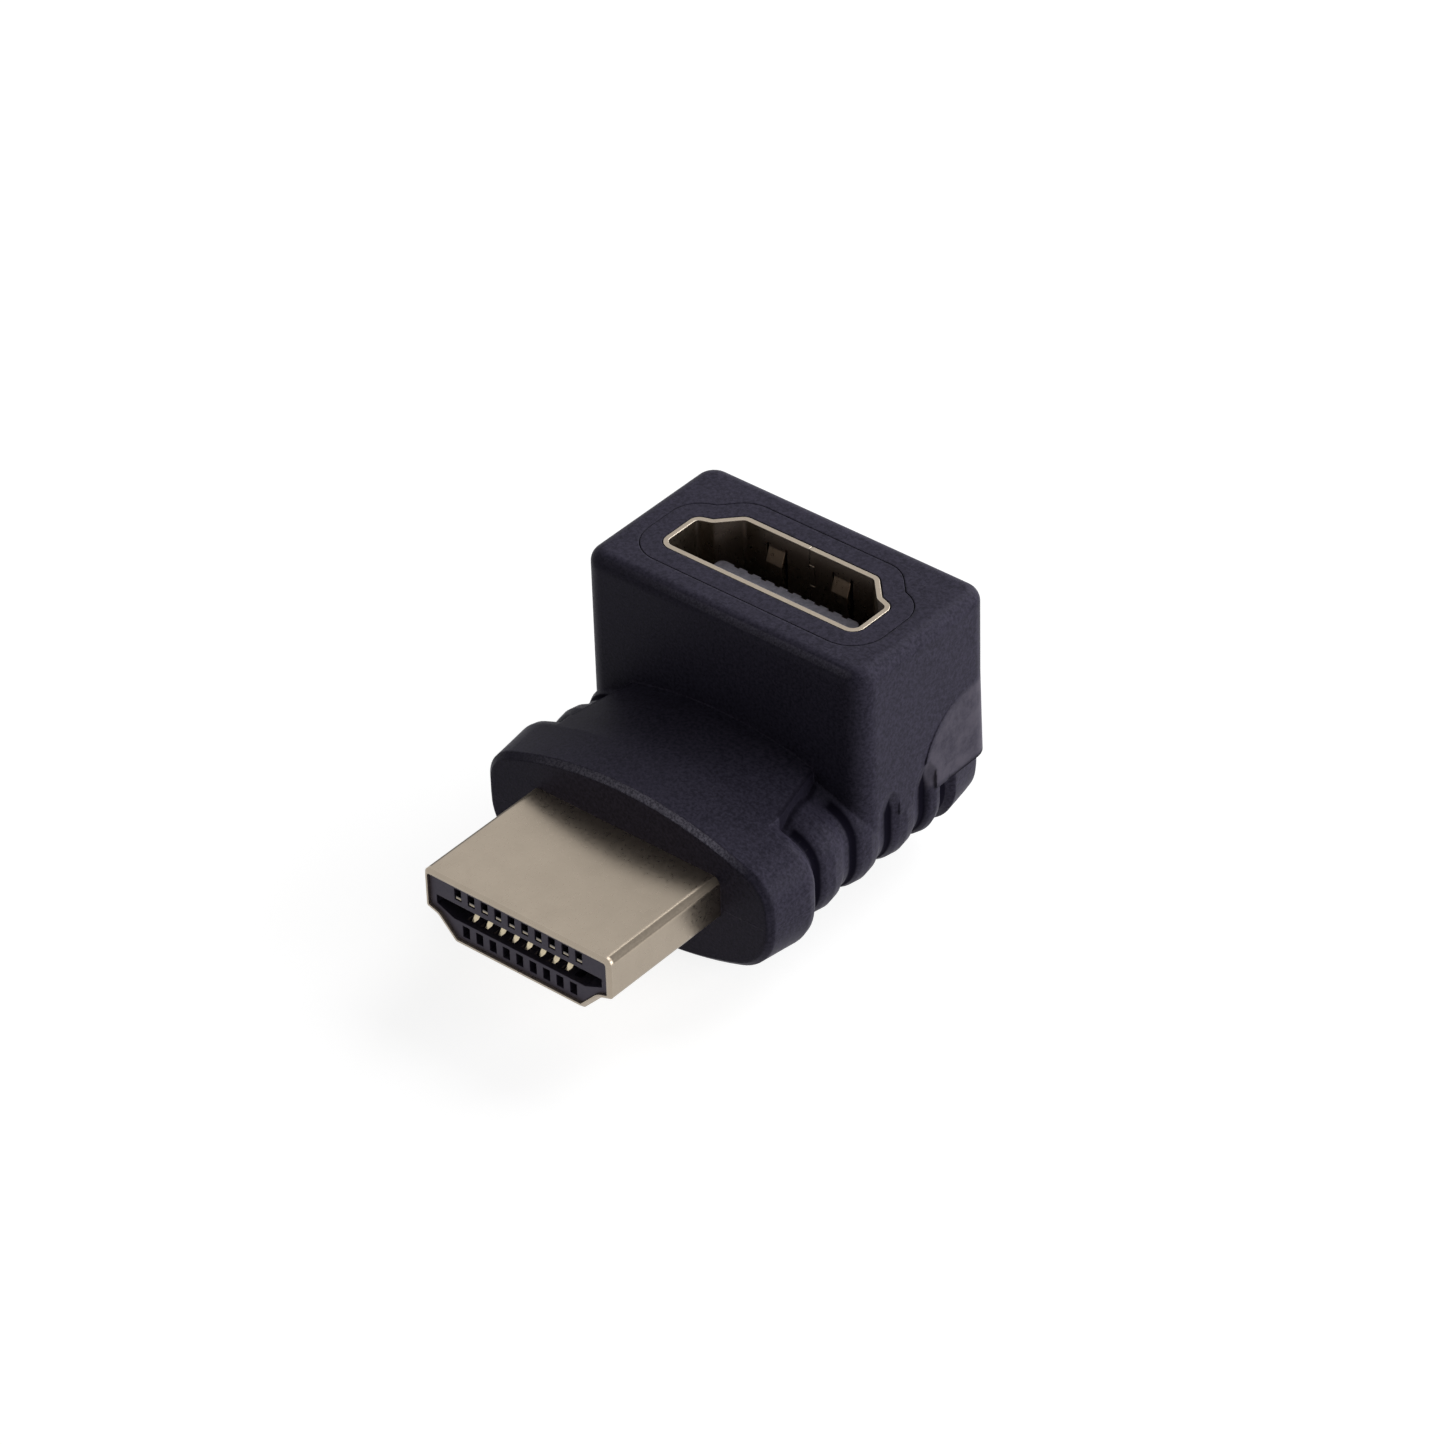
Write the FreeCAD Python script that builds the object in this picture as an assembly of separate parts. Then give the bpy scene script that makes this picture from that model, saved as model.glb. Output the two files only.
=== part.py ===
import FreeCAD, Part
import math
import os

# Right angle video adapter: a plug that points forward along -Y and a socket that opens upward along +Z.
# All sizes are in millimetres. The model is drawn about the plug axis, with the plug tip at Y = 0,
# and is placed at the end so that the origin is at the centre of the box's underside.

V = FreeCAD.Vector

# Mating interface
PLUG_WIDTH = 13.9
PLUG_HEIGHT = 4.45
SHELL_WALL = 0.3
MATING_GAP = 0.05
SHOULDER_DROP = 2.78
SHOULDER_RUN = 0.9
SHOULDER_FALL = 0.3
FOOT_WIDTH = 9.5
WIDE_CORNER = 0.5
SHOULDER_CORNER = 0.35
NECK_CORNER = 0.5
FOOT_CORNER = 0.4
CONTACT_PITCH = 1.0
ODD_CONTACTS = 10
EVEN_CONTACTS = 9
CONTACT_WIDTH = 0.38
CONTACT_THICKNESS = 0.18
MOULDED_FIT = 0.02

# Plug
PLUG_REACH = 9.5
PLUG_SEAT = 3.0
NOSE_CHAMFER = 0.2
INSULATOR_INSET = 0.2
INSULATOR_LENGTH = 10.4
SLOT_HEIGHT = 1.13
SLOT_RISE = -0.06
SLOT_CHEEK = 0.5
SLOT_DEPTH = 8.0
SLOT_END_RISE = 0.53
SLOT_END_RUN = 1.25
WINDOW_HEIGHT = 0.8
WINDOW_OFFSET = 1.23
WINDOW_WEB = 0.4
CONTACT_SIDE_GAP = 0.07
TIP_HEIGHT = 0.98
TIP_LENGTH = 0.2
TIP_GAP = 0.05
UPPER_RAMP = 1.8
LOWER_RAMP = 0.6
TOUCH_HEIGHT = 0.38
BEAM_START = 6.4
BEAM_HEIGHT = 0.78
BEND_GAP = 0.1
SET_BACK = 1.4

# Socket
SOCKET_RISE = 12.45
SHELL_STANDOFF = 0.5
TONGUE_WIDTH = 10.4
TONGUE_THICKNESS = 1.1
TONGUE_RECESS = 2.0
TONGUE_END_ROUND = 0.4
BASE_HEIGHT = 2.1
STRIP_THICKNESS = 0.16
STRIP_PROUD = 0.04
STRIP_END_GAP = 0.25
FOOT_OUTREACH = 0.6
SPRING_WIDTH = 1.2
SPRING_LENGTH = 2.9
SPRING_SPACING = 4.85
SPRING_TOP_GAP = 0.85
SPRING_BULGE = 0.32
SPRING_SLIT = 0.16
SPRING_ROOT = 0.25
SPRING_BOW_START = 0.4
SPRING_BOW_END = 0.6
LEG_WIDTH = 0.9
LEG_LENGTH = 2.0
LEG_SPACING = 1.6
LEG_HOLE_GAP = 0.06

# Seam of the folded shells
SEAM_GAP = 0.05
SEAM_JOG = 0.35
SEAM_JOG_START = 1.1
SEAM_JOG_LENGTH = 1.4

# Circuit board
BOARD_THICKNESS = 1.0
BOARD_WIDTH = 15.8
BOARD_TAB_WIDTH = 12.0
BOARD_FRONT_GAP = 0.4
BOARD_BACK_MARGIN = 0.2
TAIL_OVERLAP = 2.2

# Outer body
TOWER_WIDTH = 20.65
TOWER_DEPTH = 11.6
TOWER_SETBACK = 8.65
TOWER_CORNER = 1.3
TOWER_TOP_ROUND = 0.9
CROWN_RADIUS = 24.0
CROWN_TOP = 5.6
CROWN_BOTTOM = 5.4
REST_FLAT = 0.15
TOP_EDGE_ROUND = 2.9
LOW_EDGE_ROUND = 4.1
COLLAR_DEPTH = 4.2
COLLAR_LAND = 1.15
COLLAR_FLARE = 0.3
COLLAR_BACK_ROUND = 1.0
FACE_CHAMFER = 0.35
REAR_ROUND = 1.3
REAR_TAPER = 0.3
ROUND_FACETS = 4
PARTING_RISE = 1.05

# Finger grip
RIB_PITCH = 3.25
FULL_RIBS = 3
LAST_RIB = 2.1
RIB_DROP = 0.6
RIB_FACETS = 4
GROOVE_DEPTH = 0.4
GROOVE_WIDTH = 0.6
GRIP_EDGE_FRONT = 7.8
GRIP_EDGE_BACK = 6.8
WALL_GROOVE_RISE = 2.1

# Drafted pad behind the side arc
PAD_HEIGHT = 5.5
PAD_PROUD = 0.12
PAD_SETBACK = 5.35
PAD_ARC = 4.8

# Inner moulding
COLUMN_WALL = 1.35
CORE_SIDE_WALL = 0.5
CORE_TOP = 2.6
CORE_BOTTOM = 2.4
CORE_ROUND = 0.8
FRONT_WALL = 1.6
BACK_WALL = 1.5
POCKET_HEIGHT = 1.4
POCKET_DEPTH = 1.3
JOINT_LINE = 0.06
JOINT_DEPTH = 0.2
RIM_GAP = 0.08
RIM_GAP_DEPTH = 0.4

# Places that follow from the sizes
BODY_FRONT = PLUG_REACH
TOWER_FRONT = BODY_FRONT + TOWER_SETBACK
TOWER_BACK = TOWER_FRONT + TOWER_DEPTH
SOCKET_Y = TOWER_FRONT + TOWER_DEPTH / 2
BLOCK_HALF_WIDTH = TOWER_WIDTH / 2 + RIB_DROP
CORE_WIDTH = BOARD_WIDTH + 2 * CORE_SIDE_WALL
COLLAR_BACK = BODY_FRONT + COLLAR_DEPTH
FIRST_GROOVE = COLLAR_BACK + GROOVE_WIDTH / 2
LAST_GROOVE = FIRST_GROOVE + FULL_RIBS * RIB_PITCH + LAST_RIB
BOARD_TOP = BOARD_THICKNESS / 2
SHELL_BOTTOM = BOARD_TOP + SHELL_STANDOFF
PLUG_SHELL_END = BODY_FRONT + PLUG_SEAT
INSULATOR_END = INSULATOR_INSET + INSULATOR_LENGTH
BOARD_FRONT = INSULATOR_END + BOARD_FRONT_GAP
CORE_FRONT = BODY_FRONT + FRONT_WALL
CORE_BACK = TOWER_BACK - BACK_WALL
TONGUE_TIP = SOCKET_RISE - TONGUE_RECESS
SOCKET_INSIDE = MATING_GAP
SOCKET_OUTSIDE = MATING_GAP + SHELL_WALL
SOCKET_BACK_Y = SOCKET_Y + PLUG_HEIGHT / 2 + SOCKET_OUTSIDE
UNDERSIDE = REST_FLAT - CROWN_BOTTOM
ORIGIN = V(0, (TOWER_BACK + PAD_PROUD) / 2, UNDERSIDE)
BIG = 4 * TOWER_WIDTH
OVERCUT = 1.0
LEAST_CORNER = 0.05
ROUND_SHARE = 0.9
TOLERANCE = 1e-4


# Flat outlines and how they are turned into solids


def on_plug(y):
    """Map outline coordinates to the plug's plane at depth y, wide side up."""
    return lambda u, v: V(u, y, v)


def on_socket(z):
    """Map outline coordinates to the socket's plane at height z, wide side towards the plug."""
    return lambda u, v: V(u, SOCKET_Y - v, z)


def crossing(a, b, c, d):
    """Point where the line a-b meets the line c-d."""
    den = (b[0] - a[0]) * (d[1] - c[1]) - (b[1] - a[1]) * (d[0] - c[0])
    t = ((c[0] - a[0]) * (d[1] - c[1]) - (c[1] - a[1]) * (d[0] - c[0])) / den
    return (a[0] + t * (b[0] - a[0]), a[1] + t * (b[1] - a[1]))


def shifted_edge(a, b, distance):
    """The edge a-b moved sideways to its left by a distance."""
    length = math.hypot(b[0] - a[0], b[1] - a[1])
    nx = -(b[1] - a[1]) / length * distance
    ny = (b[0] - a[0]) / length * distance
    return (a[0] + nx, a[1] + ny), (b[0] + nx, b[1] + ny)


def grown(points, distance):
    """A clockwise polygon with every edge moved outward by a distance."""
    count = len(points)
    edges = [shifted_edge(points[i], points[(i + 1) % count], distance) for i in range(count)]
    return [crossing(*edges[i - 1], *edges[i]) for i in range(count)]


def corner_cut(before, corner, after, radius):
    """Start, middle and end of the arc that rounds one corner of a polygon."""
    ax, ay = before[0] - corner[0], before[1] - corner[1]
    bx, by = after[0] - corner[0], after[1] - corner[1]
    la, lb = math.hypot(ax, ay), math.hypot(bx, by)
    ax, ay, bx, by = ax / la, ay / la, bx / lb, by / lb
    half = math.acos(max(-1.0, min(1.0, ax * bx + ay * by))) / 2
    setback = radius / math.tan(half)
    mx, my = ax + bx, ay + by
    lm = math.hypot(mx, my)
    reach = radius / math.sin(half) - radius
    start = (corner[0] + ax * setback, corner[1] + ay * setback)
    middle = (corner[0] + mx / lm * reach, corner[1] + my / lm * reach)
    end = (corner[0] + bx * setback, corner[1] + by * setback)
    return start, middle, end


def rounded_wire(points, radii, place):
    """Closed wire through a polygon whose corners are rounded by arcs."""
    count = len(points)
    cuts = [corner_cut(points[i - 1], points[i], points[(i + 1) % count], radii[i]) for i in range(count)]
    edges = []
    for i in range(count):
        start, middle, end = cuts[i]
        edges.append(Part.Arc(place(*start), place(*middle), place(*end)).toShape())
        edges.append(Part.LineSegment(place(*end), place(*cuts[(i + 1) % count][0])).toShape())
    return Part.Wire(edges)


def straight_wire(points, place):
    """Closed wire through a polygon with sharp corners."""
    corners = [place(*point) for point in points]
    return Part.makePolygon(corners + [corners[0]])


def swept(wire, direction):
    """Solid made by pushing a flat outline along a direction."""
    return Part.Face(wire).extrude(direction)


def block(x0, x1, y0, y1, z0, z1):
    """Box between two corners."""
    return Part.makeBox(x1 - x0, y1 - y0, z1 - z0, V(x0, y0, z0))


def edges_at(shape, axis, value):
    """Edges of a shape that lie wholly in one plane square to an axis."""
    return [
        edge
        for edge in shape.Edges
        if all(abs(getattr(edge.valueAt(t), axis) - value) < TOLERANCE for t in edge.ParameterRange)
        and abs(getattr(edge.CenterOfMass, axis) - value) < TOLERANCE
    ]


def mirrored(shape):
    """The same shape on the other side of the centre plane."""
    return shape.mirror(V(0, 0, 0), V(1, 0, 0))


def joined(shapes):
    """One solid from shapes that touch or overlap."""
    return shapes[0].multiFuse(shapes[1:]).removeSplitter()


def strip_outline(path, thickness):
    """Outline of a flat strip of constant thickness that follows a bent path."""
    half = thickness / 2
    sides = []
    for distance in (half, -half):
        edges = [shifted_edge(path[i], path[i + 1], distance) for i in range(len(path) - 1)]
        corners = [crossing(*edges[i], *edges[i + 1]) for i in range(len(edges) - 1)]
        sides.append([edges[0][0]] + corners + [edges[-1][1]])
    return sides[0] + sides[1][::-1]


def strip(path, thickness, x, width):
    """Bent strip: a path in Y and Z, given a thickness and a width about x."""
    wire = straight_wire(strip_outline(path, thickness), lambda y, z: V(x - width / 2, y, z))
    return swept(wire, V(width, 0, 0))


# The mating outline shared by the plug and the socket


def mating_points():
    """Corners of the plug's outside, clockwise from the wide side's left end."""
    side = PLUG_WIDTH / 2
    top = PLUG_HEIGHT / 2
    shoulder = top - SHOULDER_DROP
    neck = side - SHOULDER_RUN
    foot = FOOT_WIDTH / 2
    right = [(side, top), (side, shoulder), (neck, shoulder - SHOULDER_FALL), (foot, -top)]
    left = [(-u, v) for u, v in reversed(right)]
    return left[-1:] + right + left[:-1]


def mating_wire(offset, place):
    """The mating outline, grown evenly by an offset, with its corners rounded."""
    convex = [WIDE_CORNER, WIDE_CORNER, SHOULDER_CORNER, None, FOOT_CORNER, FOOT_CORNER, None, SHOULDER_CORNER]
    wanted = [NECK_CORNER - offset if radius is None else radius + offset for radius in convex]
    radii = [max(LEAST_CORNER, radius) for radius in wanted]
    return rounded_wire(grown(mating_points(), offset), radii, place)


def plug_prism(offset, y0, y1):
    """Solid of the mating outline along the plug axis."""
    return swept(mating_wire(offset, on_plug(y0)), V(0, y1 - y0, 0))


def socket_prism(offset, z0, z1):
    """Solid of the mating outline along the socket axis."""
    return swept(mating_wire(offset, on_socket(z0)), V(0, 0, z1 - z0))


def seam_gaps(start, end):
    """Slit of a shell's seam, with its dovetail jog, as spans (side, from, to) measured from the rim."""
    jog_start = SEAM_JOG_START
    jog_end = jog_start + SEAM_JOG_LENGTH
    upright = [(0, start, jog_start), (SEAM_JOG, jog_start, jog_end), (0, jog_end, end)]
    level = [(jog_start, SEAM_JOG), (jog_end, SEAM_JOG)]
    return upright, level


# Plug


def plug_shell():
    """Folded sheet shell with a bevelled nose and a dovetailed seam along its narrow side."""
    outside = plug_prism(0, 0, PLUG_SHELL_END)
    outside = outside.makeChamfer(min(NOSE_CHAMFER, ROUND_SHARE * SHELL_WALL), edges_at(outside, "y", 0))
    shell = outside.cut(plug_prism(-SHELL_WALL, -OVERCUT, PLUG_SHELL_END + OVERCUT))
    low = -PLUG_HEIGHT / 2 - SHELL_WALL
    high = -PLUG_HEIGHT / 2 + 2 * SHELL_WALL
    upright, level = seam_gaps(-OVERCUT, PLUG_SHELL_END + OVERCUT)
    half = SEAM_GAP / 2
    for x, y0, y1 in upright:
        shell = shell.cut(block(x - half, x + half, y0 - half, y1 + half, low, high))
    for y, x in level:
        shell = shell.cut(block(-half, x + half, y - half, y + half, low, high))
    return shell


def slot_outline():
    """Slot for the socket's tongue: flat ceiling, and a floor whose ends rise."""
    side = PLUG_WIDTH / 2 - SHELL_WALL - SLOT_CHEEK
    ceiling = SLOT_RISE + SLOT_HEIGHT / 2
    floor = SLOT_RISE - SLOT_HEIGHT / 2
    end = floor + SLOT_END_RISE
    flat = side - SLOT_END_RUN
    return [(-side, ceiling), (side, ceiling), (side, end), (flat, floor), (-flat, floor), (-side, end)]


def contact_places(count):
    """X of each contact in a row, centred on the axis."""
    return [(i - (count - 1) / 2) * CONTACT_PITCH for i in range(count)]


def contact_rows():
    """Each row as its side of the axis (+1 above, -1 below) and the places of its contacts."""
    return [(1, contact_places(ODD_CONTACTS)), (-1, contact_places(EVEN_CONTACTS))]


def plug_insulator():
    """Moulded block with the tongue slot, front windows and one channel per contact."""
    block_shape = plug_prism(-SHELL_WALL - MOULDED_FIT, INSULATOR_INSET, INSULATOR_END)
    slot = swept(straight_wire(slot_outline(), on_plug(0)), V(0, SLOT_DEPTH, 0))
    cutters = [slot]
    channel = CONTACT_WIDTH + 2 * CONTACT_SIDE_GAP
    outer = WINDOW_OFFSET + WINDOW_HEIGHT / 2
    inner = WINDOW_OFFSET - WINDOW_HEIGHT / 2
    web_back = INSULATOR_INSET + WINDOW_WEB
    for side, places in contact_rows():
        for x in places:
            x0, x1 = x - channel / 2, x + channel / 2
            window = block(x0, x1, 0, web_back, inner, outer)
            run = block(x0, x1, web_back, INSULATOR_END + OVERCUT, 0, outer)
            pair = joined([window, run])
            cutters.append(pair if side > 0 else pair.mirror(V(0, 0, 0), V(0, 0, 1)))
    return block_shape.cut(Part.makeCompound(cutters))


def plug_contact(side, x, set_back):
    """Spring contact: held tip, touching bow, straight beam and a tail on the board."""
    tip = INSULATOR_INSET + TIP_GAP + (0 if side > 0 else WINDOW_WEB + TIP_GAP)
    ramp = UPPER_RAMP if side > 0 else LOWER_RAMP
    lead = tip + TIP_LENGTH + set_back
    tail = BOARD_TOP + CONTACT_THICKNESS / 2
    path = [
        (tip + set_back, TIP_HEIGHT),
        (lead, TIP_HEIGHT),
        (lead + ramp, TOUCH_HEIGHT),
        (BEAM_START, BEAM_HEIGHT),
        (INSULATOR_END - BEND_GAP, BEAM_HEIGHT),
        (BOARD_FRONT + BEND_GAP, tail),
        (BOARD_FRONT + TAIL_OVERLAP, tail),
    ]
    return strip([(y, side * z) for y, z in path], CONTACT_THICKNESS, x, CONTACT_WIDTH)


# Circuit board


def board():
    """Board with a narrow front tab inside the plug shell and slots for the socket's legs."""
    back = SOCKET_BACK_Y + FOOT_OUTREACH + BOARD_BACK_MARGIN
    shoulder = PLUG_SHELL_END + BOARD_FRONT_GAP
    half = BOARD_WIDTH / 2
    tab = BOARD_TAB_WIDTH / 2
    plan = [(-tab, BOARD_FRONT), (tab, BOARD_FRONT), (tab, shoulder), (half, shoulder)]
    plan += [(half, back), (-half, back), (-half, shoulder), (-tab, shoulder)]
    plate = swept(straight_wire(plan, lambda x, y: V(x, y, -BOARD_TOP)), V(0, 0, BOARD_THICKNESS))
    return plate.cut(Part.makeCompound([leg(place, LEG_HOLE_GAP) for place in leg_places()]))


# Socket


def leg_places():
    """Each leg of the socket shell as its side and its Y."""
    middle = SOCKET_Y - PLUG_HEIGHT / 2 + SHOULDER_DROP / 2
    return [(side, middle + step * LEG_SPACING / 2) for side in (-1, 1) for step in (-1, 1)]


def leg(place, gap):
    """Solder leg of the socket shell, or the slot it passes through when a gap is given."""
    side, y = place
    inner = PLUG_WIDTH / 2 + SOCKET_INSIDE - gap
    outer = PLUG_WIDTH / 2 + SOCKET_OUTSIDE + gap
    reach = LEG_WIDTH / 2 + gap
    top = SHELL_BOTTOM + SHELL_WALL
    tall = block(inner, outer, y - reach, y + reach, top - LEG_LENGTH - SHELL_WALL, top)
    return tall if side > 0 else mirrored(tall)


def spring_centres():
    """X of the two springs in a wall."""
    return [-SPRING_SPACING / 2, SPRING_SPACING / 2]


def spring(x, wall_y, inward):
    """Spring finger that hangs from the shell wall and bows into the socket."""
    top = SOCKET_RISE - SPRING_TOP_GAP
    middle = wall_y - inward * SHELL_WALL / 2
    path = [
        (middle, top + SPRING_SLIT),
        (middle, top - SPRING_ROOT),
        (middle + inward * SPRING_BULGE, top - SPRING_BOW_START * SPRING_LENGTH),
        (middle + inward * SPRING_BULGE, top - SPRING_BOW_END * SPRING_LENGTH),
        (middle + inward * SPRING_BULGE / 2, top - SPRING_LENGTH + SPRING_SLIT),
    ]
    return strip(path, SHELL_WALL, x, SPRING_WIDTH)


def spring_window(x, wall_y, inward):
    """Opening in the wall around one spring finger."""
    top = SOCKET_RISE - SPRING_TOP_GAP
    reach = SPRING_WIDTH / 2 + SPRING_SLIT
    near = wall_y + inward * SHELL_WALL
    far = wall_y - inward * 2 * SHELL_WALL
    return block(x - reach, x + reach, min(near, far), max(near, far), top - SPRING_LENGTH, top)


def socket_shell():
    """Folded sheet shell with four bowed springs, a dovetailed seam and four solder legs."""
    outside = socket_prism(SOCKET_OUTSIDE, SHELL_BOTTOM, SOCKET_RISE)
    shell = outside.cut(socket_prism(SOCKET_INSIDE, SHELL_BOTTOM - OVERCUT, SOCKET_RISE + OVERCUT))
    half_depth = PLUG_HEIGHT / 2 + SOCKET_INSIDE
    walls = [(SOCKET_Y + half_depth, -1), (SOCKET_Y - half_depth, 1)]
    springs = []
    windows = []
    for wall_y, inward in walls:
        for x in spring_centres():
            windows.append(spring_window(x, wall_y, inward))
            springs.append(spring(x, wall_y, inward))
    shell = shell.cut(Part.makeCompound(windows))
    y0 = SOCKET_BACK_Y - 2 * SHELL_WALL
    y1 = SOCKET_BACK_Y + SHELL_WALL
    half = SEAM_GAP / 2
    upright, level = seam_gaps(-OVERCUT, SOCKET_RISE - SHELL_BOTTOM + OVERCUT)
    slits = []
    for x, drop0, drop1 in upright:
        z0, z1 = SOCKET_RISE - drop1 - half, SOCKET_RISE - drop0 + half
        slits.append(block(x - half, x + half, y0, y1, z0, z1))
    for drop, x in level:
        z = SOCKET_RISE - drop
        slits.append(block(-half, x + half, y0, y1, z - half, z + half))
    shell = shell.cut(Part.makeCompound(slits))
    return joined([shell] + springs + [leg(place, 0) for place in leg_places()])


def strip_rows():
    """Each row of socket contacts as its side of the tongue (-1 faces the wide wall) and its places."""
    return [(-1, contact_places(ODD_CONTACTS)), (1, contact_places(EVEN_CONTACTS))]


def strip_depth(side):
    """Y of the middle of a contact strip that lies in a face of the tongue."""
    face = TONGUE_THICKNESS / 2 + STRIP_PROUD - STRIP_THICKNESS / 2
    return SOCKET_Y + side * face


def foot_end(side):
    """Y where a socket contact's foot ends on the board."""
    return SOCKET_Y + side * (SOCKET_BACK_Y - SOCKET_Y + FOOT_OUTREACH)


def socket_contact(side, x):
    """Contact strip on the tongue that bends outward to a foot on the board."""
    y = strip_depth(side)
    foot = BOARD_TOP + STRIP_THICKNESS / 2
    path = [(y, TONGUE_TIP - STRIP_END_GAP), (y, foot), (foot_end(side), foot)]
    return strip(path, STRIP_THICKNESS, x, CONTACT_WIDTH)


def socket_insulator():
    """Base that stands on the board and the tongue that carries the contacts."""
    base = socket_prism(SOCKET_INSIDE - MOULDED_FIT, BOARD_TOP, BOARD_TOP + BASE_HEIGHT)
    half = TONGUE_WIDTH / 2
    y0 = SOCKET_Y - TONGUE_THICKNESS / 2
    y1 = SOCKET_Y + TONGUE_THICKNESS / 2
    plan = [(-half, y1), (half, y1), (half, y0), (-half, y0)]
    rounds = [min(TONGUE_END_ROUND, ROUND_SHARE * TONGUE_THICKNESS / 2)] * 4
    wire = rounded_wire(plan, rounds, lambda x, y: V(x, y, BOARD_TOP))
    body = base.fuse(swept(wire, V(0, 0, TONGUE_TIP - BOARD_TOP)))
    width = CONTACT_WIDTH / 2 + MOULDED_FIT
    depth = STRIP_THICKNESS / 2 + MOULDED_FIT
    cutters = []
    for side, places in strip_rows():
        y = strip_depth(side)
        inner, outer, end = y - side * depth, y + side * depth, foot_end(side)
        high = BOARD_TOP + STRIP_THICKNESS + MOULDED_FIT
        reach = places[-1] + width
        cutters.append(block(-reach, reach, min(inner, end), max(inner, end), BOARD_TOP, high))
        for x in places:
            span = (min(inner, outer), max(inner, outer))
            cutters.append(block(x - width, x + width, *span, high, TONGUE_TIP + OVERCUT))
    return body.cut(Part.makeCompound(cutters))


# Outer body


def lens_wire(y, inset):
    """Crowned section of the plug block at depth y, inset evenly from the collar's outline."""
    half = BLOCK_HALF_WIDTH - inset
    crown = CROWN_RADIUS - inset
    edges = []
    quarters = []
    for sign, height, edge_round in ((1, CROWN_TOP, TOP_EDGE_ROUND), (-1, CROWN_BOTTOM, LOW_EDGE_ROUND)):
        corner_x = BLOCK_HALF_WIDTH - edge_round
        rise = math.sqrt((CROWN_RADIUS - edge_round) ** 2 - corner_x ** 2)
        corner = edge_round - inset
        lean = math.atan2(corner_x, rise)
        bend = (lean + math.pi / 2) / 2
        centre = height - CROWN_RADIUS
        corner_z = centre + rise
        shoulder = (crown * math.sin(lean), sign * (centre + crown * math.cos(lean)))
        turn = (corner_x + corner * math.sin(bend), sign * (corner_z + corner * math.cos(bend)))
        quarters.append((sign * (height - inset), shoulder, turn, (half, sign * corner_z)))
    (top, top_shoulder, top_turn, top_side), (low, low_shoulder, low_turn, low_side) = quarters

    def at(point, flip=1):
        return V(flip * point[0], y, point[1])

    edges.append(Part.Arc(at(top_shoulder, -1), V(0, y, top), at(top_shoulder)).toShape())
    edges.append(Part.Arc(at(top_shoulder), at(top_turn), at(top_side)).toShape())
    edges.append(Part.LineSegment(at(top_side), at(low_side)).toShape())
    edges.append(Part.Arc(at(low_side), at(low_turn), at(low_shoulder)).toShape())
    edges.append(Part.Arc(at(low_shoulder), V(0, y, low), at(low_shoulder, -1)).toShape())
    edges.append(Part.Arc(at(low_shoulder, -1), at(low_turn, -1), at(low_side, -1)).toShape())
    edges.append(Part.LineSegment(at(low_side, -1), at(top_side, -1)).toShape())
    edges.append(Part.Arc(at(top_side, -1), at(top_turn, -1), at(top_shoulder, -1)).toShape())
    return Part.Wire(edges)


def lens_prism(y0, y1, inset):
    """Straight length of the plug block's section."""
    return swept(lens_wire(y0, inset), V(0, y1 - y0, 0))


def lens_steps(steps):
    """Length of the block's section through pairs of depth and inset, with straight flanks between."""
    return Part.makeLoft([lens_wire(y, inset) for y, inset in steps], True, True)


def rounded_rear(y, inset, radius):
    """Steps of a quarter round in flat facets that ends at depth y."""
    turns = [math.pi / 2 * i / ROUND_FACETS for i in range(ROUND_FACETS + 1)]
    return [(y - radius + radius * math.sin(t), inset + radius * (1 - math.cos(t))) for t in turns]


def collar():
    """Front part of the block: it flares backward, then ends in a rounded land before the grip."""
    radius = min(COLLAR_BACK_ROUND, ROUND_SHARE * COLLAR_LAND)
    front = [(BODY_FRONT, COLLAR_FLARE + FACE_CHAMFER), (BODY_FRONT + FACE_CHAMFER, COLLAR_FLARE)]
    land = [(COLLAR_BACK - COLLAR_LAND, 0)]
    return lens_steps(front + land + rounded_rear(COLLAR_BACK, 0, radius))


def crown_patch():
    """Crowned band between the two grips, from the collar to the back."""
    land = COLLAR_BACK - COLLAR_LAND
    whole = lens_steps([(land, 0)] + rounded_rear(TOWER_BACK, 0, REAR_ROUND))
    right = [(GRIP_EDGE_FRONT, land), (GRIP_EDGE_FRONT, COLLAR_BACK), (GRIP_EDGE_BACK, TOWER_FRONT)]
    right.append((GRIP_EDGE_BACK, TOWER_BACK))
    plan = right + [(-x, y) for x, y in reversed(right)]
    return whole.common(swept(straight_wire(plan, lambda x, y: V(x, y, -BIG)), V(0, 0, 2 * BIG)))


def rib_profile(width):
    """Rounded back of a rib in flat facets: pairs of distance from its middle and drop from its crest."""
    radius = (width ** 2 / 4 + GROOVE_DEPTH ** 2) / (2 * GROOVE_DEPTH)
    spread = math.asin(min(1.0, width / 2 / radius))
    angles = [spread * (2 * i / RIB_FACETS - 1) for i in range(RIB_FACETS + 1)]
    return [(radius * math.sin(angle), radius * (1 - math.cos(angle))) for angle in angles]


def ribs():
    """Rounded ribs that wrap round each side of the block, with grooves between them."""
    middles = [FIRST_GROOVE + i * RIB_PITCH for i in range(FULL_RIBS + 1)] + [LAST_GROOVE]
    shapes = []
    for groove, next_groove in zip(middles, middles[1:]):
        middle = (groove + next_groove) / 2
        profile = rib_profile(next_groove - groove - GROOVE_WIDTH)
        shapes.append(lens_steps([(middle + step, RIB_DROP + drop) for step, drop in profile]))
    return shapes


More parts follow.
